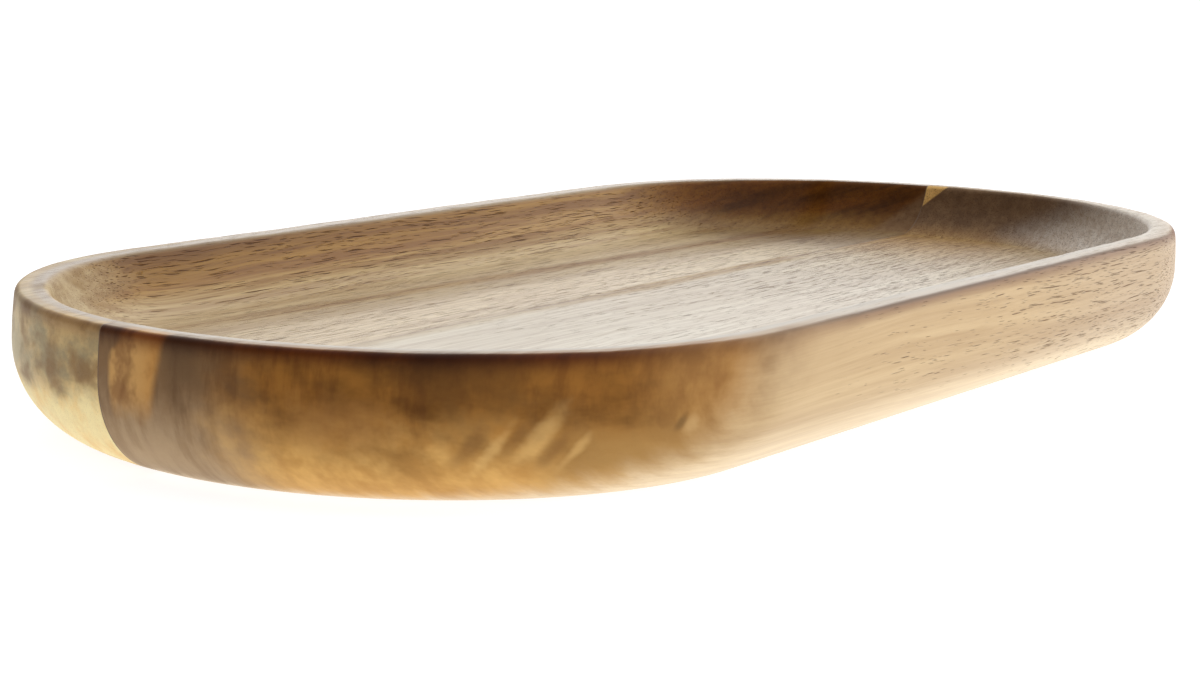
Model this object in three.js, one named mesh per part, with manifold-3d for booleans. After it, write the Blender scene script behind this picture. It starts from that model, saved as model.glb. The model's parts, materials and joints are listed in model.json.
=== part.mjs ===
// Pill-shaped wooden serving platter. Two staves are glued edge to edge into one blank, which is then
// hollowed and rounded as a single piece, so the glued joint runs through rim, well floor and foot alike.
// Millimetres, +Z up, length along X, origin at the middle of the foot face.

import * as THREE from "three";
import { mergeVertices } from "three/addons/utils/BufferGeometryUtils.js";
import Module from "manifold-3d";

// Overall size, over the belly of the wall
const length = 300;
const width = 140;
const height = 25;

// Outer wall: a large round from the foot up to the belly, then a slight draw-in up to the rim
const footRound = 16.3;
const rimDrawIn = 0.3;

// Rim, flat on top with both edges eased
const rimWidth = 5.7;
const rimOuterEase = 1.4;
const rimInnerEase = 1.2;

// Well: a leaning wall that runs into the flat floor through a cove
const wellDepth = 11;
const wellWallLean = THREE.MathUtils.degToRad(22);
const wellCoveRadius = 12.5;

// Glued edge joint, upright and parallel to the length
const jointOffset = 12.3;
const glueThickness = 0.2;

// Facets: steps in each quarter turn of the outline, and in each eased edge of the section,
// whose round and cove take twice as many
const outlineSteps = 18;
const sectionSteps = 4;

const staveColours = { narrow: 0xb08a5c, wide: 0x7d5530 };
const glueColour = 0x5a3a1e;

const wasm = await Module();
wasm.setup();

// The pill is every point at one distance from a straight spine, so one level of the platter needs
// only that distance.
const bellyRadius = width / 2;
const spineHalf = length / 2 - bellyRadius;

// Half of the cross-section, as distance from the spine and height: from the foot, over the rim,
// to the well floor.
function sectionPath() {
  const foot = Math.min(footRound, height - rimOuterEase);
  const easeLevel = height - rimOuterEase;
  const rimRadius = bellyRadius - rimDrawIn;
  const sideRise = easeLevel - foot;
  const sideSlope = sideRise > 0 ? (2 * rimDrawIn) / sideRise : 0;

  const section = new THREE.Path();
  section.moveTo(bellyRadius - foot, 0);
  section.absarc(bellyRadius - foot, foot, foot, -Math.PI / 2, 0, false);
  section.quadraticCurveTo(bellyRadius, foot + sideRise / 2, rimRadius, easeLevel);
  section.quadraticCurveTo(
    rimRadius - sideSlope * rimOuterEase,
    height,
    rimRadius - rimOuterEase,
    height,
  );

  const wellEdge = rimRadius - rimWidth;
  const leanIn = Math.sin(wellWallLean);
  const leanDown = Math.cos(wellWallLean);
  section.lineTo(wellEdge + rimInnerEase, height);
  section.quadraticCurveTo(
    wellEdge,
    height,
    wellEdge - rimInnerEase * leanIn,
    height - rimInnerEase * leanDown,
  );

  const wallDrop = wellDepth - rimInnerEase * leanDown;
  const cove = Math.min(wellCoveRadius, wallDrop / (1 - leanIn));
  const floorLevel = height - wellDepth;
  const coveTop = floorLevel + cove * (1 - leanIn);
  const coveTopRadius = wellEdge - (height - coveTop) * Math.tan(wellWallLean);
  section.lineTo(coveTopRadius, coveTop);
  section.absarc(
    coveTopRadius - cove * leanDown,
    floorLevel + cove,
    cove,
    -wellWallLean,
    -Math.PI / 2,
    true,
  );
  return section;
}

// Plan outline of the platter at one distance from the spine, counter-clockwise seen from above.
function pillOutline(radius) {
  const pill = new THREE.Shape();
  pill.absarc(spineHalf, 0, radius, -Math.PI / 2, Math.PI / 2, false);
  pill.absarc(-spineHalf, 0, radius, Math.PI / 2, (3 * Math.PI) / 2, false);
  return pill.getPoints(outlineSteps);
}

// The shaped platter as one closed skin: a ring for each point of the section, closed by the foot
// and the well floor.
function platterGeometry() {
  const rings = sectionPath()
    .getPoints(sectionSteps)
    .map((point) => pillOutline(point.x).map((p) => [p.x, p.y, point.y]));
  const ringSize = rings[0].length;
  const triangles = [];

  for (let ring = 0; ring + 1 < rings.length; ring++) {
    for (let i = 0; i < ringSize; i++) {
      const here = ring * ringSize + i;
      const beside = ring * ringSize + ((i + 1) % ringSize);
      triangles.push(here, beside, beside + ringSize);
      triangles.push(here, beside + ringSize, here + ringSize);
    }
  }

  const floorStart = (rings.length - 1) * ringSize;
  for (const [a, b, c] of THREE.ShapeUtils.triangulateShape(
    rings[0].map(([x, y]) => new THREE.Vector2(x, y)),
    [],
  )) {
    triangles.push(a, c, b);
    triangles.push(floorStart + a, floorStart + b, floorStart + c);
  }

  const geometry = new THREE.BufferGeometry();
  geometry.setAttribute("position", new THREE.Float32BufferAttribute(rings.flat(2), 3));
  geometry.setIndex(triangles);
  return geometry;
}

// A board of the blank between two levels across the width, a little larger than the platter all round.
function boardGeometry(fromY, toY) {
  const board = new THREE.BoxGeometry(2 * length, toY - fromY, 4 * height);
  return board.translate(0, (fromY + toY) / 2, 0);
}

function solidOf(geometry) {
  const bare = geometry.clone();
  bare.deleteAttribute("normal");
  bare.deleteAttribute("uv");
  const merged = mergeVertices(bare);
  return new wasm.Manifold(
    new wasm.Mesh({
      numProp: 3,
      vertProperties: merged.attributes.position.array,
      triVerts: new Uint32Array(merged.index.array),
    }),
  );
}

function geometryOf(solid) {
  const mesh = solid.getMesh();
  const geometry = new THREE.BufferGeometry();
  geometry.setAttribute("position", new THREE.BufferAttribute(mesh.vertProperties, mesh.numProp));
  geometry.setIndex(new THREE.BufferAttribute(mesh.triVerts, 1));
  geometry.computeVertexNormals();
  return geometry;
}

const shaped = solidOf(platterGeometry());
const glueFace = { wide: jointOffset - glueThickness / 2, narrow: jointOffset + glueThickness / 2 };

// One piece of the glued blank, as the shaping leaves it.
function shapedPiece(name, fromY, toY, colour, roughness) {
  const piece = shaped.intersect(solidOf(boardGeometry(fromY, toY)));
  const material = new THREE.MeshStandardMaterial({ color: colour, roughness, metalness: 0 });
  const mesh = new THREE.Mesh(geometryOf(piece), material);
  mesh.name = name;
  return mesh;
}

const platter = new THREE.Group();
platter.name = "serving_platter";
platter.add(
  shapedPiece("wide_stave", -width, glueFace.wide, staveColours.wide, 0.5),
  shapedPiece("glue_line", glueFace.wide, glueFace.narrow, glueColour, 0.4),
  shapedPiece("narrow_stave", glueFace.narrow, width, staveColours.narrow, 0.5),
);

export default platter;
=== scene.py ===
"""Looks of a pill-shaped wooden serving platter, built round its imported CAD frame.

Metres, in the frame of the CAD part: length along X, +Z up, origin in the middle of the foot. The end
nearest to the camera is at -X, and the long side that faces it is at -Y. Materials work in millimetres.
"""

import json
import math

import bmesh
import bpy
import numpy as np
from mathutils import Matrix, Vector, noise


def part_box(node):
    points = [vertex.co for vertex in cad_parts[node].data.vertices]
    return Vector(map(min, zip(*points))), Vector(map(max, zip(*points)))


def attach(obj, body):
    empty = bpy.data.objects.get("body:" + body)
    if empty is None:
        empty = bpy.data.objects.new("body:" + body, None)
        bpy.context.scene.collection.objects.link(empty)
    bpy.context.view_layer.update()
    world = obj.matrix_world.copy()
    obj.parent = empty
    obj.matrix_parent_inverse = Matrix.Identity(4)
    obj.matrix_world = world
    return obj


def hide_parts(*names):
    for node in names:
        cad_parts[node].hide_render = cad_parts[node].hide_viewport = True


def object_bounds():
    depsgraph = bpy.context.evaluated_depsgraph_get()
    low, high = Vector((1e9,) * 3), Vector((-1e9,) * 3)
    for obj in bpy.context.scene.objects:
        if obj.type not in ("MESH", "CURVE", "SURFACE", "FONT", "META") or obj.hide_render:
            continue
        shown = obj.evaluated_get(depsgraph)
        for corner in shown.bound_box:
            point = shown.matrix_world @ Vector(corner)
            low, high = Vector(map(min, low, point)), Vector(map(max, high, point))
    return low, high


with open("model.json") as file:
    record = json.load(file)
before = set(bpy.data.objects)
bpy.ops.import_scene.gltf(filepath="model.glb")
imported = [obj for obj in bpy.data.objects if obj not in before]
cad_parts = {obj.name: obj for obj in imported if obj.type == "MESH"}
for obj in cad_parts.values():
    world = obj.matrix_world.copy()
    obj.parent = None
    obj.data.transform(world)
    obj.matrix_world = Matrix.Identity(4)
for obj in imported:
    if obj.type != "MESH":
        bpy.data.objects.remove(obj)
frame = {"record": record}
cad_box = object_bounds()

MM = 0.001

# Sizes that the frame gives
LENGTH, WIDTH, HEIGHT = cad_box[1] - cad_box[0]
WIDE_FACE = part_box("wide_stave")[1].y
NARROW_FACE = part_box("narrow_stave")[0].y
MOUNTS = {mount["name"]: mount for mount in frame["record"]["mounts"]}
FLOOR_LEVEL = MOUNTS["well_floor"]["pos_m"][2]
BELLY_RADIUS = WIDTH / 2
SPINE_HALF = LENGTH / 2 - BELLY_RADIUS

# Sizes of the section, as the solids have them
FOOT_ROUND = 16.3 * MM
RIM_DRAW_IN = 0.3 * MM
RIM_WIDTH = 5.7 * MM
RIM_OUTER_EASE = 1.4 * MM
RIM_INNER_EASE = 1.2 * MM
WELL_WALL_LEAN = math.radians(22)
WELL_COVE_RADIUS = 12.5 * MM
RIM_RADIUS = BELLY_RADIUS - RIM_DRAW_IN

# How finely the surface is drawn: steps round an end, along a side and over each curve of the section,
# and the spacing on its flats
END_STEPS = 96
SIDE_STEPS = 64
FOOT_ROUND_STEPS = 26
BELLY_STEPS = 8
OUTER_EASE_STEPS = 10
INNER_EASE_STEPS = 8
COVE_STEPS = 22
FOOT_SPACING = 6.6 * MM
RIM_SPACING = 0.66 * MM
WALL_SPACING = 0.88 * MM
FLOOR_SPACING = 2.2 * MM

# Section points closer than the first are one, and so are vertices closer than the second. A cut takes
# the vertices that lie closer to it than the third.
SHORTEST_STEP = 0.01 * MM
MERGE_DISTANCE = 0.001 * MM
CUT_SNAP = 0.0005 * MM
SHARP_ANGLE = math.radians(40)

# Hand finish: how deep sanding has eaten into the true form, and how long its waves are. It fades out
# over the lowest stretch of the wall, because the foot stays flat.
SANDING_DEPTH = 0.07 * MM
SANDING_WAVE = 24 * MM
RIM_SANDING_DEPTH = 0.22 * MM
RIM_SANDING_WAVE = 9 * MM
RIM_SANDING_SHIFT = Vector((5, 3, 1))
FOOT_FADE = 4 * MM

# The outer edge of the rim is sanded rounder towards the far end
FAR_EDGE_SANDING_DEPTH = 0.4 * MM
FAR_EDGE_SANDING_REACH = 1.7 * MM
FAR_EDGE_START = 20 * MM
FAR_EDGE_FULL = 100 * MM

# Camera, fitted to the photograph
CAMERA_PLACE = Vector((-0.445805, -0.263412, 0.090013))
CAMERA_YAW = 0.559062
CAMERA_PITCH = -0.161260
CAMERA_ROLL = 0.0297818
CAMERA_LENS = 79.71
CAMERA_CLIP_START = 0.01
SENSOR_WIDTH = 36.0

# Light table and surround, whose light falls off with the angle from its bright way
TABLE_HALF = 6.0
TABLE_LEVEL = -0.3 * MM
TABLE_COLOUR = (0.32, 0.32, 0.32, 1)
TABLE_GLOW = 0.88
SURROUND_BRIGHT_WAY = (0.8, -0.3, 0.5)
SURROUND_FALL_OFF = (-0.5, 0.7)
SURROUND_LIGHT = 0.85
SURROUND_DIM = 0.1

# Soft lamps: the direction that each shines from, its strength and its spread in degrees
LAMPS = {
    "soft_key": ((0.6, -0.7, 0.5), 1.3, 70),
    "low_back_light": ((0.8, 0.45, 0.28), 0.42, 40),
    "overhead": ((0.1, 0.0, 1.0), 0.5, 120),
}

# Kinds of open pore: width in millimetres, share of the board's pore length, how many more of them there
# are, how dark they are, and a shift that sets the kind apart from the others
PORE_KINDS = (
    (0.45, 1.0, -0.04, 1.0, 2),
    (0.34, 0.5, 0.0, 1.0, 9),
    (0.22, 0.3, 0.12, 0.7, 5),
)
PORE_RELIEF = 0.1 * MM
WOOD_ROUGHNESS = 0.32
WOOD_SHINE = 0.2
GLUE_ROUGHNESS = 0.42

# Pale flecks on the near end: place along the wall, level, half width and half height in millimetres
FLECKS = ((60.5, 12.3, 2.3, 4.8), (53.5, 10.5, 1.4, 5), (66.5, 10, 1.3, 3.5))


def arc(centre, radius, start, end, steps):
    """Points of a round stretch of the section, from one angle to another."""
    angles = np.linspace(start, end, steps + 1)
    return [(centre[0] + radius * math.cos(a), centre[1] + radius * math.sin(a)) for a in angles]


def eased(start, corner, end, steps):
    """Points of an eased edge of the section, tangent to both lines that meet at its corner."""
    places = np.linspace(0, 1, steps + 1)[:, None]
    points = (1 - places) ** 2 * start + 2 * places * (1 - places) * corner + places ** 2 * end
    return [tuple(point) for point in points]


def straight(start, end, spacing):
    """Points of a flat stretch of the section."""
    start, end = np.array(start), np.array(end)
    steps = max(1, round(float(np.linalg.norm(end - start)) / spacing))
    return [tuple(start + (end - start) * i / steps) for i in range(steps + 1)]


def section():
    """Half of the cross-section, from foot over rim to floor, as (distance from the spine, height)."""
    foot_edge = BELLY_RADIUS - FOOT_ROUND
    ease_level = HEIGHT - RIM_OUTER_EASE
    side_rise = ease_level - FOOT_ROUND
    side_slope = 2 * RIM_DRAW_IN / side_rise
    side_foot = np.array((BELLY_RADIUS, FOOT_ROUND))
    side_bend = np.array((BELLY_RADIUS, FOOT_ROUND + side_rise / 2))
    side_top = np.array((RIM_RADIUS, ease_level))
    rim_corner = np.array((RIM_RADIUS - side_slope * RIM_OUTER_EASE, HEIGHT))
    rim_start = np.array((RIM_RADIUS - RIM_OUTER_EASE, HEIGHT))

    lean_in, lean_down = math.sin(WELL_WALL_LEAN), math.cos(WELL_WALL_LEAN)
    well_edge = RIM_RADIUS - RIM_WIDTH
    rim_end = np.array((well_edge + RIM_INNER_EASE, HEIGHT))
    well_corner = np.array((well_edge, HEIGHT))
    wall_top = well_corner - RIM_INNER_EASE * np.array((lean_in, lean_down))
    cove_top_level = FLOOR_LEVEL + WELL_COVE_RADIUS * (1 - lean_in)
    cove_top = well_edge - (HEIGHT - cove_top_level) * math.tan(WELL_WALL_LEAN)
    cove_centre = (cove_top - WELL_COVE_RADIUS * lean_down, FLOOR_LEVEL + WELL_COVE_RADIUS)

    points = straight((0, 0), (foot_edge, 0), FOOT_SPACING)
    points += arc((foot_edge, FOOT_ROUND), FOOT_ROUND, -math.pi / 2, 0, FOOT_ROUND_STEPS)
    points += eased(side_foot, side_bend, side_top, BELLY_STEPS)
    points += eased(side_top, rim_corner, rim_start, OUTER_EASE_STEPS)
    points += straight(rim_start, rim_end, RIM_SPACING)
    points += eased(rim_end, well_corner, wall_top, INNER_EASE_STEPS)
    points += straight(wall_top, (cove_top, cove_top_level), WALL_SPACING)
    points += arc(cove_centre, WELL_COVE_RADIUS, -WELL_WALL_LEAN, -math.pi / 2, COVE_STEPS)
    points += straight((cove_centre[0], FLOOR_LEVEL), (0, FLOOR_LEVEL), FLOOR_SPACING)
    kept = [points[0]]
    for point in points[1:]:
        if math.dist(point, kept[-1]) > SHORTEST_STEP:
            kept.append(point)
    return kept


def outline_rays():
    """(spine point, direction) of each point round the pill, counter-clockwise seen from above."""
    rays = []
    for side in (1, -1):
        for i in range(END_STEPS + 1):
            turn = math.pi * (i / END_STEPS - 0.5)
            rays.append((side * SPINE_HALF, side * math.cos(turn), side * math.sin(turn)))
        for i in range(1, SIDE_STEPS):
            rays.append((side * SPINE_HALF * (1 - 2 * i / SIDE_STEPS), 0.0, float(side)))
    return rays


def clamped(value):
    """The value, kept between 0 and 1."""
    return min(max(value, 0), 1)


def sanded_depth(place):
    """How far below the true form the hand-sanded surface lies here."""
    rise = clamped((place.z - FLOOR_LEVEL) / (HEIGHT - FLOOR_LEVEL))
    broad = 0.5 + 0.5 * noise.noise(place / SANDING_WAVE)
    short = 0.5 + 0.5 * noise.noise(place / RIM_SANDING_WAVE + RIM_SANDING_SHIFT)
    waves = SANDING_DEPTH * broad + (RIM_SANDING_DEPTH - SANDING_DEPTH) * rise ** 2 * short
    off_the_foot = min(place.z / FOOT_FADE, 1)

    from_spine = math.hypot(max(abs(place.x) - SPINE_HALF, 0), place.y)
    from_edge = math.dist((from_spine, place.z), (RIM_RADIUS, HEIGHT))
    at_edge = max(1 - from_edge / FAR_EDGE_SANDING_REACH, 0)
    far = clamped((place.x - FAR_EDGE_START) / (FAR_EDGE_FULL - FAR_EDGE_START))
    return off_the_foot * waves + FAR_EDGE_SANDING_DEPTH * at_edge * far


def shaped_blank():
    """The whole platter as one closed skin, before it is parted into the pieces of its blank."""
    rays = outline_rays()
    skin = bmesh.new()
    rings = []
    for radius, level in section():
        rings.append([skin.verts.new((x + radius * dx, radius * dy, level)) for x, dx, dy in rays])
    for low, high in zip(rings, rings[1:]):
        for i, vert in enumerate(low):
            beside = (i + 1) % len(low)
            skin.faces.new((vert, low[beside], high[beside], high[i]))
    bmesh.ops.remove_doubles(skin, verts=skin.verts, dist=MERGE_DISTANCE)
    skin.normal_update()
    depths = [(vert, vert.normal.copy(), sanded_depth(vert.co)) for vert in skin.verts]
    for vert, normal, depth in depths:
        vert.co -= normal * depth
    skin.normal_update()
    return skin


def piece_of_blank(blank, name, low_face, high_face):
    """The platter between two upright planes across the width, closed on each plane that cuts it."""
    skin = blank.copy()
    for level, away in ((low_face, -1), (high_face, 1)):
        if level is None:
            continue
        everything = skin.verts[:] + skin.edges[:] + skin.faces[:]
        cut = bmesh.ops.bisect_plane(
            skin, geom=everything, dist=CUT_SNAP, plane_co=(0, level, 0), plane_no=(0, away, 0),
            clear_outer=True,
        )
        cut_edges = [part for part in cut["geom_cut"] if isinstance(part, bmesh.types.BMEdge)]
        bmesh.ops.holes_fill(skin, edges=cut_edges, sides=0)
    for face in skin.faces:
        face.smooth = True
    mesh = bpy.data.meshes.new(name)
    skin.to_mesh(mesh)
    skin.free()
    mesh.set_sharp_from_angle(angle=SHARP_ANGLE)
    piece = bpy.data.objects.new(name, mesh)
    bpy.context.scene.collection.objects.link(piece)
    return piece


def srgb(red, green, blue):
    """A colour given as the 0 to 255 numbers of a display, as the linear colour that a shader takes."""
    shares = [channel / 255 for channel in (red, green, blue)]
    return tuple(c / 12.92 if c <= 0.04045 else ((c + 0.055) / 1.055) ** 2.4 for c in shares) + (1.0,)


class Field:
    """A number or colour that varies over the surface. Arithmetic on it adds math nodes to its graph."""

    def __init__(self, graph, socket):
        self.graph = graph
        self.socket = socket

    def __add__(self, other):
        return self.graph.math("ADD", self, other)

    def __sub__(self, other):
        return self.graph.math("SUBTRACT", self, other)

    def __rsub__(self, other):
        return self.graph.math("SUBTRACT", other, self)

    def __mul__(self, other):
        return self.graph.math("MULTIPLY", self, other)

    def __truediv__(self, other):
        return self.graph.math("DIVIDE", self, other)

    def __abs__(self):
        return self.graph.math("ABSOLUTE", self)

    def spread(self, reach):
        """Noise from 0 to 1 with its middle moved to 0 and its range stretched to reach."""
        return (self - 0.5) * reach

    __radd__ = __add__
    __rmul__ = __mul__


class Graph:
    """The nodes of one material. Each method adds nodes and gives back what they put out."""

    def __init__(self, name):
        self.material = bpy.data.materials.new(name)
        self.material.use_nodes = True
        self.tree = self.material.node_tree
        self.shader = self.tree.nodes["Principled BSDF"]

    def feed(self, socket, value):
        """Link a field to a socket, or set the socket to a plain value."""
        if isinstance(value, Field):
            self.tree.links.new(value.socket, socket)
        else:
            socket.default_value = value

    def math(self, operation, *values):
        node = self.tree.nodes.new("ShaderNodeMath")
        node.operation = operation
        for socket, value in zip(node.inputs, values):
            self.feed(socket, value)
        return Field(self, node.outputs[0])

    def hypot(self, first, second):
        """Length of the diagonal of two distances at right angles."""
        return self.math("SQRT", first * first + second * second)

    def place(self):
        """Where the surface is, as three fields in millimetres."""
        node = self.tree.nodes.new("ShaderNodeTexCoord")
        scaled = self.tree.nodes.new("ShaderNodeVectorMath")
        scaled.operation = "SCALE"
        scaled.inputs["Scale"].default_value = 1 / MM
        self.tree.links.new(node.outputs["Object"], scaled.inputs[0])
        return self.split(scaled.outputs[0])

    def normal(self):
        """Which way the surface faces, as three fields."""
        return self.split(self.tree.nodes.new("ShaderNodeNewGeometry").outputs["Normal"])

    def split(self, socket):
        node = self.tree.nodes.new("ShaderNodeSeparateXYZ")
        self.tree.links.new(socket, node.inputs[0])
        return [Field(self, out) for out in node.outputs]

    def joined(self, x, y, z):
        node = self.tree.nodes.new("ShaderNodeCombineXYZ")
        for socket, value in zip(node.inputs, (x, y, z)):
            self.feed(socket, value)
        return Field(self, node.outputs[0])

    def noise(self, x, y, z, detail=2.0, roughness=0.5):
        """Smooth noise from 0 to 1, around 0.5, that changes over about one unit of each coordinate."""
        node = self.tree.nodes.new("ShaderNodeTexNoise")
        node.inputs["Scale"].default_value = 1.0
        node.inputs["Detail"].default_value = detail
        node.inputs["Roughness"].default_value = roughness
        self.feed(node.inputs["Vector"], self.joined(x, y, z))
        return Field(self, node.outputs[0])

    def cells(self, x, y, z):
        """Distance to the nearest of scattered cell middles, one to a unit, and that cell's own number."""
        node = self.tree.nodes.new("ShaderNodeTexVoronoi")
        node.inputs["Scale"].default_value = 1.0
        self.feed(node.inputs["Vector"], self.joined(x, y, z))
        number = self.split(node.outputs["Color"])[0]
        return Field(self, node.outputs["Distance"]), number

    def step(self, value, low, high):
        """0 below low and 1 above high, with a smooth rise between. Low may be the higher one."""
        node = self.tree.nodes.new("ShaderNodeMapRange")
        node.interpolation_type = "SMOOTHSTEP"
        if low > high:
            low, high = high, low
            node.inputs["To Min"].default_value = 1.0
            node.inputs["To Max"].default_value = 0.0
        self.feed(node.inputs["Value"], value)
        node.inputs["From Min"].default_value = low
        node.inputs["From Max"].default_value = high
        return Field(self, node.outputs[0])

    def mix(self, share, first, second, blend="MIX"):
        """The first colour, turned into the second by a share from 0 to 1."""
        node = self.tree.nodes.new("ShaderNodeMix")
        node.data_type = "RGBA"
        node.blend_type = blend
        self.feed(node.inputs["Factor"], share)
        first_colour, second_colour = [socket for socket in node.inputs if socket.type == "RGBA"]
        self.feed(first_colour, first)
        self.feed(second_colour, second)
        return Field(self, next(socket for socket in node.outputs if socket.type == "RGBA"))

    def layered(self, colour, *layers):
        """The colour with layers laid over it in turn, each a share from 0 to 1 and its own colour."""
        for share, tint in layers:
            colour = self.mix(share, colour, tint)
        return colour

    def bump(self, height, depth):
        """A surface normal from a height field, whose unit is depth metres."""
        node = self.tree.nodes.new("ShaderNodeBump")
        node.inputs["Strength"].default_value = 1.0
        node.inputs["Distance"].default_value = depth
        self.feed(node.inputs["Height"], height)
        return Field(self, node.outputs[0])


class Wood(Graph):
    """The material of one board, with the fields that its colours follow.

    A coordinate of the noise is divided by the millimetres over which it changes, so most noise is long
    along X, the way of the grain. Growth rings lie round a heart line along X, and the shift gives each
    board a figure of its own.
    """

    def __init__(self, name, heart_y, heart_z, shift):
        super().__init__(name)
        x, y, z = self.place()
        self.x, self.y, self.z = x, y, z

        # Parts of the platter. Round end is the distance along the wall from the tip of the near end.
        spine_end = SPINE_HALF / MM
        past_spine = self.math("MAXIMUM", x - spine_end, 0) + self.math("MINIMUM", x + spine_end, 0)
        self.from_spine = self.hypot(past_spine, y)
        self.round_end = self.math("ARCTAN2", 0 - y, 0 - (x + spine_end)) * (BELLY_RADIUS / MM)
        self.outside = self.math("MAXIMUM", self.step(self.from_spine, 65.5, 67.5), self.step(z, 13.5, 12.5))
        self.inside = 1 - self.outside
        self.rim = self.step(z, 24.1, 24.7)

        # Lines of the grain, which wander a little
        wander_y = self.noise(x / 150 + shift, y / 50, z / 50, detail=1).spread(9)
        wander_z = self.noise(x / 150 + shift + 7, y / 50, z / 50, detail=1).spread(7)
        ripple = self.noise(x / 45 + shift, y / 14, z / 14, detail=1).spread(2)
        across, up = y + wander_y + ripple, z + wander_z + ripple
        self.across, self.up = across, up
        self.waver = self.noise(x / 9, y / 3, z / 3, detail=1).spread(0.4)

        # Figure, from broad to fine
        ring = self.hypot(across - heart_y, up - heart_z)
        self.band = self.step(self.noise(ring / 7 + shift, x / 420, 0.5, detail=3), 0.35, 0.65)
        self.line = self.noise(ring / 0.9, x / 160 + shift, 0.5)
        ribbon = self.noise(x / 110 + shift, across / 1.5, up / 1.5, detail=4, roughness=0.65)
        self.ribbon = self.step(ribbon, 0.36, 0.66)
        self.fibre = self.noise(x / 16, across * 3, up * 3 + shift)
        self.crowd = self.noise(x / 60, across / 7, up / 7 + shift)
        self.blotch = self.noise(x / 60 + shift, y / 13, z / 9, detail=4, roughness=0.6)
        self.patch = self.noise(x / 30 + shift, y / 4.5, z / 5.5, detail=3, roughness=0.6)
        self.streak = self.noise(y / 2.8, z / 12, x / 24 + shift, detail=4, roughness=0.6)

        # On the near end, end grain runs further round the turn at the rim than at the foot
        further = (z - 9) * 0.015 * self.outside * self.step(x, -50, -80)
        ragged = self.streak.spread(0.1 + self.outside * 0.25)
        self.end_grain = self.step(abs(self.normal()[0]) + further + ragged, 0, 0.44)

    def banded(self, light, dark):
        """Two colours that follow the growth rings."""
        return self.mix(self.band, light, dark)

    def pores(self, width, length, share, shift):
        """Open pores, long along the grain. Share is how many of the places for a pore hold one.

        Each row of places is set off along the grain from the row beside it, so that the rows don't line up.
        """
        across = (self.across + self.waver) / width
        up = (self.up + self.waver) / width
        set_off = across * 0.618 + up * 0.414
        near, number = self.cells(self.x / length + set_off + shift, across, up)
        return self.step(near, 0.36, 0.14) * self.step(number + share, 0.94, 1.16)

    def rim_edge_band_and_shade(self):
        """The dark band under the rim's outer edge, painted partly as shade under the rounded edge and
        partly as a darker edge of the wood: deep over end grain, shallow along the sides.
        """
        end_rise = self.step(self.z, 20, 24.6)
        side_rise = self.step(self.z, 22, 24.7) * 0.75
        rise = side_rise + (end_rise * end_rise - side_rise) * self.end_grain
        return self.outside * rise * self.step(self.from_spine, 68.2, 69.2)

    def near_end_spot(self, along, level, half_width, half_height, lean=0.0):
        """A soft mark on the round near end: 1 in its middle, by distance along the wall and height."""
        sideways = (self.round_end - along - (self.z - level) * lean) / half_width
        upwards = (self.z - level) / half_height
        return self.step(self.hypot(sideways, upwards) + self.patch.spread(1.6), 1.3, 0.2)

    def finished(
        self, colour, *,
        ribbons, fibres, pore_share, pore_length, pore_depth, crowding, edge, end_detail, shine, dull,
    ):
        """The material: growth lines, fibre, pores, a dark rim edge that is partly painted shade, and relief
        over a board's own colour.

        Ribbons, fibres, pore depth and edge say how strongly each of these darkens the colour. Crowding
        is how unevenly the pores lie, and end detail is the share of the fine detail that the end grain
        shows. Shine is the strength of reflections, and dull is where coarse grain scatters them.
        """
        along = (1 - self.end_grain * (1 - end_detail)) * (1 - self.rim * 0.5)
        tan = srgb(182, 149, 106)
        colour = self.mix(self.ribbon * along * ribbons, colour, tan, "MULTIPLY")
        colour = self.mix(self.step(self.line, 0.4, 0.7) * along * 0.15, colour, tan, "MULTIPLY")
        colour = self.mix(self.step(self.fibre, 0.5, 0.75) * along * fibres, colour, tan, "MULTIPLY")

        share = pore_share + self.crowd.spread(crowding)
        pore = 0.0
        for width, length_share, more, darkness, shift in PORE_KINDS:
            kind = self.pores(width, pore_length * length_share, share + more, shift) * darkness
            pore = self.math("MAXIMUM", pore, kind)
        pore = pore * along
        colour = self.mix(pore * pore_depth, colour, srgb(80, 46, 20))
        # Dark band under the rim's outer edge, partly painted shade
        colour = self.mix(self.rim_edge_band_and_shade() * edge, colour, srgb(138, 92, 66), "MULTIPLY")

        uneven = pore * 0.3 + self.fibre.spread(0.12) + self.end_grain * 0.15 + dull * 0.13
        self.feed(self.shader.inputs["Base Color"], colour)
        self.feed(self.shader.inputs["Roughness"], WOOD_ROUGHNESS + uneven)
        self.feed(self.shader.inputs["Specular IOR Level"], shine)
        self.feed(self.shader.inputs["Normal"], self.bump(self.fibre * 0.25 - pore, PORE_RELIEF))
        return self.material


def wide_side(wood, far_end, floor_end, joint_line):
    """Wide stave where the grain runs along the surface: the long side, the well and the rim."""
    far_half = wood.step(wood.x, 0, 80)
    # Painted bounce light: the foot of the long side is painted near white, as light from the table below
    # would show it
    foot = wood.step(wood.z, 11, 2) * wood.step(wood.from_spine, 52, 60)
    side = wood.layered(
        wood.banded(srgb(208, 180, 136), srgb(192, 162, 120)),
        (far_half * 0.8, srgb(200, 176, 145)),
        (foot * 0.85, srgb(250, 228, 188)),
    )
    # The well floor is painted pale and grey, partly as painted sheen of the bright surround at a low angle;
    # its camera side and near half are painted paler still
    camera_side_painted_sheen = wood.step(wood.y, -6, -24)
    near_half_painted_sheen = wood.step(wood.x, 20, -50)
    well = wood.layered(
        wood.banded(srgb(190, 176, 149), srgb(170, 152, 121)),
        (camera_side_painted_sheen * 0.6, srgb(206, 196, 175)),
        (near_half_painted_sheen * 0.4, srgb(192, 186, 167)),
        (far_end * 0.4, srgb(194, 168, 116)),
        (floor_end * 0.66, srgb(166, 124, 56)),
        (joint_line * 0.6, srgb(166, 128, 40)),
    )
    rim = wood.rim * (0.75 - far_end * 0.25)
    return wood.layered(side, (wood.inside, well), (rim, srgb(135, 118, 92)))


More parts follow.
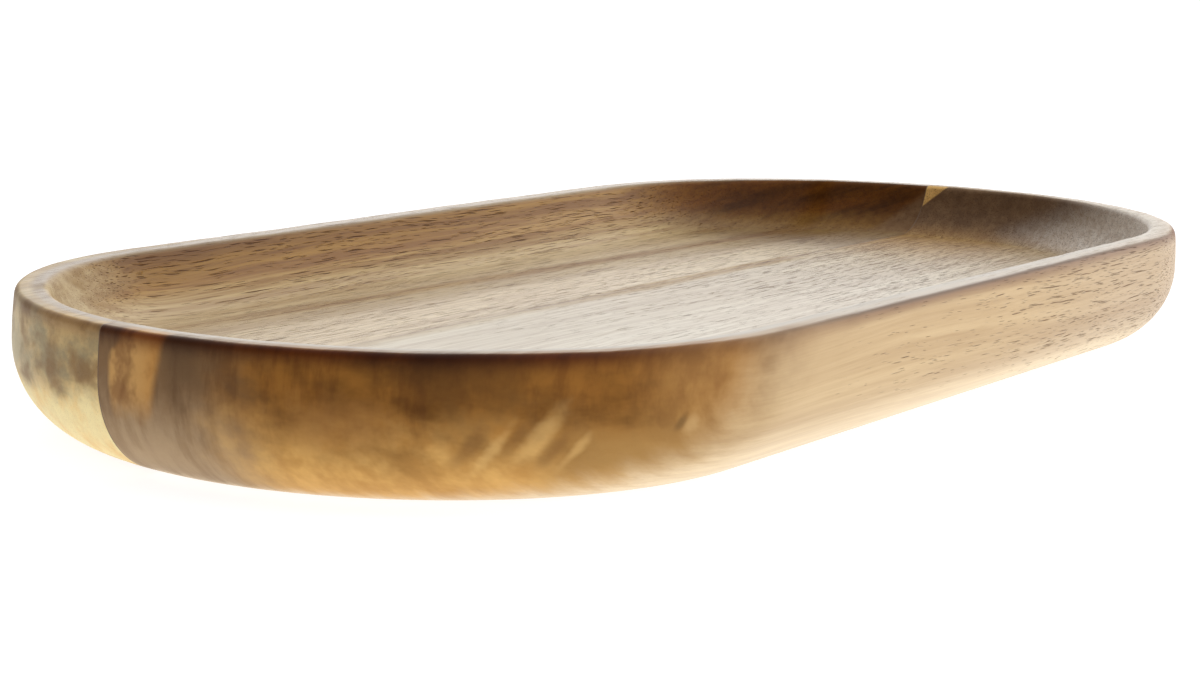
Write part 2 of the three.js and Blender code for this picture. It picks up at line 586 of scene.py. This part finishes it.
def wide_near_end(wood, near_end, level):
    """Wide stave outside the near end: dark heartwood over golden sapwood, whose brightness at the foot is
    partly painted bounce light from the table; grey beside the joint.
    """
    round_end, patch, blotch = wood.round_end, wood.patch, wood.blotch
    dark_streak = wood.step(wood.streak, 0.42, 0.66)
    turned_away = wood.step(round_end, 57, 68) * (0.5 + wood.step(wood.z, 3, 8) * 0.5)
    # Golden wood low on the near end, partly painted bounce light from the table below
    golden = wood.layered(
        wood.mix(wood.step(patch, 0.3, 0.7), srgb(224, 176, 102), srgb(200, 150, 80)),
        (turned_away, srgb(172, 132, 74)),
    )
    heart = wood.layered(
        wood.mix(wood.step(blotch, 0.38, 0.68), srgb(148, 98, 38), srgb(110, 70, 22)),
        (wood.step(round_end, 72, 88), srgb(167, 122, 65)),
        (wood.step(round_end, 94, 106), srgb(165, 131, 86)),
    )
    heart = wood.mix(dark_streak * 0.45, heart, srgb(164, 134, 104), "MULTIPLY")
    upper = wood.step(wood.z + patch.spread(8), 6, 20)
    grey_heart = wood.mix(upper, srgb(174, 149, 118), srgb(132, 102, 70))
    grey_heart = wood.mix(dark_streak * 0.4, grey_heart, srgb(172, 150, 126), "MULTIPLY")
    beside_joint = wood.step(wood.y + patch.spread(6) + blotch.spread(10), -22, -4)
    return wood.layered(
        golden,
        (wood.step(level, 4.5, 19), heart),
        (beside_joint * near_end * 0.9, grey_heart),
    )


def with_near_end_marks(wood, end):
    """The near end with its single marks: a lighter and a darker area, slanting flecks and a small knot."""
    lighter = wood.near_end_spot(30, 14.5, 10, 5)
    darkest = wood.near_end_spot(48.5, 22, 13, 9, lean=-0.5)
    end = wood.layered(end, (lighter * 0.5, srgb(156, 108, 55)), (darkest * 0.65, srgb(78, 48, 18)))
    for along, level, half_width, half_height in FLECKS:
        gap = wood.near_end_spot(along - 3.4, level + 0.5, 2, 3.5, lean=0.6)
        fleck = wood.near_end_spot(along, level, half_width, half_height, lean=0.65)
        end = wood.layered(end, (gap * 0.5, srgb(116, 78, 38)), (fleck * 0.44, srgb(226, 184, 116)))
    knot = wood.near_end_spot(84.5, 13.5, 1.1, 1.5, lean=0.4)
    beside_knot = wood.near_end_spot(86.5, 13, 1.6, 1.8)
    return wood.layered(end, (beside_knot * 0.25, srgb(226, 192, 136)), (knot * 0.55, srgb(92, 66, 36)))


def with_near_end_wedge(wood, end, joint):
    """The near end with the tan wedge beside the joint, which stands out from a shaded strip."""
    y, z, patch = wood.y, wood.z, wood.patch
    ragged = patch.spread(6)
    below_rim = HEIGHT / MM - z
    right = wood.step(y + 1.6 - below_rim * 0.19 + ragged * 0.2, -0.7, 1.3)
    left = wood.step(y + ragged * 0.2 + wood.step(z, 20, 24) * 1.8, joint - 1.9, joint - 3.4)
    wedge = left * right * wood.step(z + ragged, 9.5, 16) * wood.step(wood.x, -100, -120)
    shaded = wood.step(abs(wood.round_end - 5), 6, 1) * wood.step(z + ragged, 13, 22)
    warmer = wood.step(y, 5, -1)
    dark_line = wood.near_end_spot(-6.5, 16, 0.9, 4, lean=0.4)
    wedge_wood = wood.layered(
        wood.mix(wood.step(patch, 0.4, 0.65), srgb(206, 158, 94), srgb(158, 114, 66)),
        (warmer * 0.6, srgb(196, 136, 62)),
        (dark_line * 0.6, srgb(128, 84, 44)),
    )
    return wood.layered(end, (shaded * 0.5, srgb(76, 54, 36)), (wedge * 0.95, wedge_wood))


def wide_far_end(wood, level):
    """End grain of the wide stave on the far end: the inner wall and the outside."""
    figure = wood.step(wood.patch, 0.35, 0.65)
    # Painted sheen: the right side of the far inner wall is painted pale grey, as the bright surround's
    # reflection would show it
    painted_sheen_right_side = wood.step(wood.y + (wood.z - 19.8) * 2, -11, -44)
    cove = wood.step(wood.from_spine + wood.patch.spread(3), 60, 55)
    inner_wall = wood.layered(
        wood.mix(figure, srgb(127, 98, 68), srgb(112, 84, 57)),
        (painted_sheen_right_side, srgb(230, 219, 206)),
        (cove * (0.8 - painted_sheen_right_side * 0.6), srgb(152, 118, 76)),
    )
    outer_wall = wood.layered(
        wood.mix(figure, srgb(142, 106, 70), srgb(122, 88, 56)),
        (wood.step(level, 13, 3), srgb(206, 166, 108)),
        (wood.step(wood.y, -14, -48), srgb(212, 186, 154)),
    )
    return wood.mix(wood.inside, outer_wall, inner_wall)


def wide_stave_material():
    wood = Wood("wide_stave_wood", heart_y=-18, heart_z=-70, shift=3)
    x, y, z, inside, end_grain = wood.x, wood.y, wood.z, wood.inside, wood.end_grain
    joint = WIDE_FACE / MM
    near_end = wood.step(x, -40, -80)
    far_end = wood.step(x, 40, 100)
    level = z + wood.blotch.spread(13) + wood.patch.spread(3)
    floor_end = wood.step(x + wood.blotch.spread(30), 78, 122) * wood.step(y, -46, 0)
    joint_line = wood.step(y + wood.patch.spread(3), joint - 4.6, joint - 0.6) * wood.step(x, 90, 60)
    joint_line = joint_line * (0.5 + wood.step(x, -40, 20) * 0.5)

    near_outside = with_near_end_marks(wood, wide_near_end(wood, near_end, level))
    near_outside = with_near_end_wedge(wood, near_outside, joint)
    near_inside = wood.mix(wood.step(level, 13, 26), srgb(180, 148, 102), srgb(150, 114, 70))
    pale_corner = wood.step((z - 20) * 1.05 - (joint - y), -0.2, 0.5) * far_end
    end = wood.layered(
        near_outside,
        (inside, near_inside),
        (far_end, wide_far_end(wood, level)),
        (pale_corner, srgb(238, 192, 116)),
    )
    colour = wood.mix(end_grain, wide_side(wood, far_end, floor_end, joint_line), end)

    pore_share = 0.08 + wood.step(x, -30, 90) * (0.58 - inside * 0.12) + inside * 0.04
    pore_share = pore_share - near_end * 0.16 - wood.step(z, 10, 3) * 0.3
    return wood.finished(
        colour,
        ribbons=0.2 + inside * 0.28,
        fibres=0.12 + inside * 0.3 + far_end * 0.1,
        pore_share=pore_share,
        pore_length=13,
        pore_depth=0.65 + inside * 0.35,
        crowding=0.55,
        edge=0.95 - wood.step(wood.round_end, 62, 90) * near_end * 0.45,
        end_detail=0.2 + far_end * 0.5,
        shine=WOOD_SHINE - end_grain * wood.outside * 0.09,
        dull=wood.math("MAXIMUM", joint_line, floor_end) * inside,
    )


def narrow_side(wood, wander, brown_line, joint_line):
    """Narrow stave where the grain runs along the surface: floor, cove, inner wall, outside and rim."""
    x, y, z, inside = wood.x, wood.y, wood.z, wood.inside
    tan_floor = wood.banded(srgb(172, 147, 95), srgb(152, 123, 72))
    cove = wood.banded(srgb(188, 162, 112), srgb(164, 134, 84))
    lighter = wood.step(x, 0, 50) * wood.step(x, 90, 70) * wood.step(z, 23.5, 20)
    wall = wood.layered(
        wood.banded(srgb(160, 119, 50), srgb(119, 83, 28)),
        (lighter * 0.5, srgb(182, 148, 94)),
    )
    outer_wall = wood.banded(srgb(214, 176, 118), srgb(184, 142, 86))
    far_inside = inside * wood.step(x, 80, 108)
    near_floor = inside * wood.step(x, -50, -85) * wood.step(z, 18, 15)
    knots = wood.step(wood.noise(x / 9, y / 3, 0.5), 0.35, 0.6)
    return wood.layered(
        wood.banded(srgb(200, 180, 142), srgb(180, 158, 116)),
        (wood.step(y + x * 0.04 + wander * 0.4, 28.5, 33.5), tan_floor),
        (wood.step(y + x * 0.045 + wander * 0.4, 43, 46), srgb(190, 168, 126)),
        (wood.step(wood.from_spine + wander, 51, 56), cove),
        # Brown line at the foot of the cove, partly painted shade
        (brown_line * inside * 0.45, srgb(146, 104, 50)),
        (wood.step(z + wander * 0.5, 15.2, 19.2), wall),
        (wood.outside * 0.6, outer_wall),
        (far_inside * 0.65, srgb(104, 71, 34)),
        (near_floor * 0.5, srgb(202, 182, 144)),
        (joint_line * (0.25 + knots * 0.45), srgb(152, 112, 26)),
        (wood.rim * 0.75, srgb(143, 125, 96)),
    )


def narrow_near_end(wood, left):
    """End grain of the narrow stave on the near end: mottled wood over pale sapwood, painted near white
    partly as bounce light from the table, with painted sheen at the left edge, and the inner wall.
    """
    x, y, z, patch, blotch = wood.x, wood.y, wood.z, wood.patch, wood.blotch
    # Pale sapwood, painted near white partly as bounce light from the table below
    sapwood = wood.mix(wood.step(patch, 0.4, 0.7), srgb(254, 234, 176), srgb(250, 217, 150))
    mottle = wood.step(wood.noise(x / 30, y / 6, z / 5, detail=3), 0.4, 0.66)
    mottled = wood.layered(
        wood.mix(wood.step(blotch, 0.4, 0.62), srgb(212, 180, 124), srgb(158, 142, 108)),
        # Painted sheen on the left edge
        (left * 0.55, srgb(236, 220, 180)),
        (mottle * 0.7, srgb(142, 104, 60)),
    )
    sap_top = z + blotch.spread(9) - wood.step(y, 30, 15) * 3
    inner_wall = wood.mix(wood.step(patch, 0.4, 0.65), srgb(184, 165, 130), srgb(160, 136, 98))
    return wood.layered(sapwood, (wood.step(sap_top, 8.5, 13.5), mottled), (wood.inside, inner_wall))


def narrow_far_end(wood, joint):
    """End grain of the narrow stave on the far end: dark slanting figure, which stops short of the joint."""
    x, y, z, patch = wood.x, wood.y, wood.z, wood.patch
    slanting = wood.step(wood.noise((z + y * 0.4) / 4.5, y / 40, x / 60, detail=3), 0.35, 0.65)
    cove = wood.step(wood.from_spine + patch.spread(3), 61, 56)
    past_figure = wood.step(y - joint + z - 23 + patch.spread(2), 1.8, -1.8)
    return wood.layered(
        wood.mix(slanting, srgb(112, 66, 15), srgb(72, 40, 7)),
        (wood.step(y, 50, 63), srgb(126, 79, 12)),
        (wood.step(z, 19.5, 16) * 0.35, srgb(118, 84, 34)),
        (cove * 0.8, srgb(130, 96, 46)),
        (past_figure * 0.85, srgb(122, 93, 64)),
    )


def narrow_stave_material():
    wood = Wood("narrow_stave_wood", heart_y=40, heart_z=90, shift=11)
    x, y, inside, end_grain = wood.x, wood.y, wood.inside, wood.end_grain
    joint = NARROW_FACE / MM
    far_end = wood.step(x, 40, 90)
    # Painted sheen: the left edge of the near end is painted paler, as the bright surround would gleam on it
    # at a low angle, and its dark rim band is weaker there
    left = wood.step(wood.round_end, -20, -50) * wood.step(x, -75, -105)
    wander = wood.crowd.spread(6)
    # Brown line along the foot of the cove, partly painted shade where the floor turns up and partly a
    # growth-ring line
    brown_line = wood.step(abs(y + x * 0.045 - 41.5 + wander * 0.5), 4.2, 0.4)
    middle_stretch = wood.step(x, -40, 30) * wood.step(x, 90, 60)
    joint_line = wood.step(y - joint + wood.patch.spread(2), 2.8, 0.6) * inside * middle_stretch
    coarse = wood.math("MAXIMUM", joint_line, brown_line) * inside

    end = wood.mix(far_end, narrow_near_end(wood, left), narrow_far_end(wood, joint))
    colour = wood.mix(end_grain, narrow_side(wood, wander, brown_line, joint_line), end)
    on_wall = wood.step(wood.z, 14.5, 17)
    return wood.finished(
        colour,
        ribbons=0.5 + on_wall * 0.2,
        fibres=0.46,
        pore_share=0.36,
        pore_length=15,
        pore_depth=1.0,
        crowding=1.0,
        edge=0.6 - left * 0.15,
        end_detail=0.15 + inside * 0.25 + far_end * 0.25,
        shine=WOOD_SHINE - end_grain * 0.1 - coarse * 0.06,
        dull=coarse,
    )


def glue_material():
    graph = Graph("cured_wood_glue")
    x, _, z = graph.place()
    cloud = graph.noise(x / 9, z / 3, 0.5, detail=3)
    graph.feed(graph.shader.inputs["Base Color"], graph.mix(cloud, srgb(88, 62, 36), srgb(114, 84, 52)))
    graph.shader.inputs["Roughness"].default_value = GLUE_ROUGHNESS
    return graph.material


def dress(piece, node, material):
    piece.data.materials.append(material)
    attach(piece, "root")
    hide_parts(node)


def add_floor():
    """A white light table: it glows a little by itself and takes the object's soft shadow."""
    mesh = bpy.data.meshes.new("floor")
    corners = [(-1, -1), (1, -1), (1, 1), (-1, 1)]
    mesh.from_pydata([(x * TABLE_HALF, y * TABLE_HALF, TABLE_LEVEL) for x, y in corners], [], [(0, 1, 2, 3)])
    floor = bpy.data.objects.new("floor", mesh)
    bpy.context.scene.collection.objects.link(floor)
    graph = Graph("white_table")
    graph.shader.inputs["Base Color"].default_value = TABLE_COLOUR
    graph.shader.inputs["Roughness"].default_value = 1.0
    graph.shader.inputs["Specular IOR Level"].default_value = 0.0
    graph.shader.inputs["Emission Color"].default_value = (1, 1, 1, 1)
    graph.shader.inputs["Emission Strength"].default_value = TABLE_GLOW
    mesh.materials.append(graph.material)


def add_sun(name, towards, strength, spread):
    """A wide soft lamp that shines from one direction on everything alike."""
    sun = bpy.data.lights.new(name, "SUN")
    sun.energy = strength
    sun.angle = math.radians(spread)
    lamp = bpy.data.objects.new(name, sun)
    lamp.rotation_euler = Vector(towards).to_track_quat("Z", "Y").to_euler()
    bpy.context.scene.collection.objects.link(lamp)


def add_surround():
    """A surround that the camera sees white, and whose soft light comes mostly from behind and above."""
    world = bpy.data.worlds.new("white_surround")
    bpy.context.scene.world = world
    world.use_nodes = True
    nodes, links = world.node_tree.nodes, world.node_tree.links

    direction = nodes.new("ShaderNodeTexCoord").outputs["Generated"]
    bright_way = nodes.new("ShaderNodeVectorMath")
    bright_way.operation = "DOT_PRODUCT"
    links.new(direction, bright_way.inputs[0])
    bright_way.inputs[1].default_value = Vector(SURROUND_BRIGHT_WAY).normalized()
    rays = nodes.new("ShaderNodeLightPath")

    def brightness(low, high):
        node = nodes.new("ShaderNodeMapRange")
        node.interpolation_type = "SMOOTHSTEP"
        node.inputs["From Min"].default_value = SURROUND_FALL_OFF[0]
        node.inputs["From Max"].default_value = SURROUND_FALL_OFF[1]
        node.inputs["To Min"].default_value = low
        node.inputs["To Max"].default_value = high
        links.new(bright_way.outputs["Value"], node.inputs["Value"])
        return node.outputs[0]

    def chosen(kind, first, second):
        node = nodes.new("ShaderNodeMix")
        links.new(rays.outputs[kind], node.inputs["Factor"])
        links.new(first, node.inputs["A"])
        if isinstance(second, float):
            node.inputs["B"].default_value = second
        else:
            links.new(second, node.inputs["B"])
        return node.outputs["Result"]

    mirrored = brightness(SURROUND_DIM, 1.0)
    strength = chosen("Is Glossy Ray", brightness(SURROUND_DIM, SURROUND_LIGHT), mirrored)
    strength = chosen("Is Transmission Ray", strength, mirrored)
    strength = chosen("Is Camera Ray", strength, 1.0)
    nodes["Background"].inputs["Color"].default_value = (1, 1, 1, 1)
    links.new(strength, nodes["Background"].inputs["Strength"])


def add_camera():
    ahead = Vector((
        math.cos(CAMERA_PITCH) * math.cos(CAMERA_YAW),
        math.cos(CAMERA_PITCH) * math.sin(CAMERA_YAW),
        math.sin(CAMERA_PITCH),
    ))
    level = ahead.cross(Vector((0, 0, 1))).normalized()
    upright = level.cross(ahead)
    right = level * math.cos(CAMERA_ROLL) + upright * math.sin(CAMERA_ROLL)
    up = upright * math.cos(CAMERA_ROLL) - level * math.sin(CAMERA_ROLL)
    data = bpy.data.cameras.new("camera")
    data.lens = CAMERA_LENS
    data.sensor_fit = "HORIZONTAL"
    data.sensor_width = SENSOR_WIDTH
    data.clip_start = CAMERA_CLIP_START
    camera = bpy.data.objects.new("camera", data)
    turn = Matrix((right, up, -ahead)).transposed().to_4x4()
    camera.matrix_world = Matrix.Translation(CAMERA_PLACE) @ turn
    bpy.context.scene.collection.objects.link(camera)
    bpy.context.scene.camera = camera


add_camera()
add_surround()
for name, (towards, strength, spread) in LAMPS.items():
    add_sun(name, towards, strength, spread)
add_floor()
blank = shaped_blank()
dress(piece_of_blank(blank, "wide_stave_shaped", None, WIDE_FACE),
      "wide_stave", wide_stave_material())
dress(piece_of_blank(blank, "glue_line_film", WIDE_FACE, NARROW_FACE),
      "glue_line", glue_material())
dress(piece_of_blank(blank, "narrow_stave_shaped", NARROW_FACE, None),
      "narrow_stave", narrow_stave_material())
blank.free()
bpy.context.scene.view_settings.view_transform = "Standard"
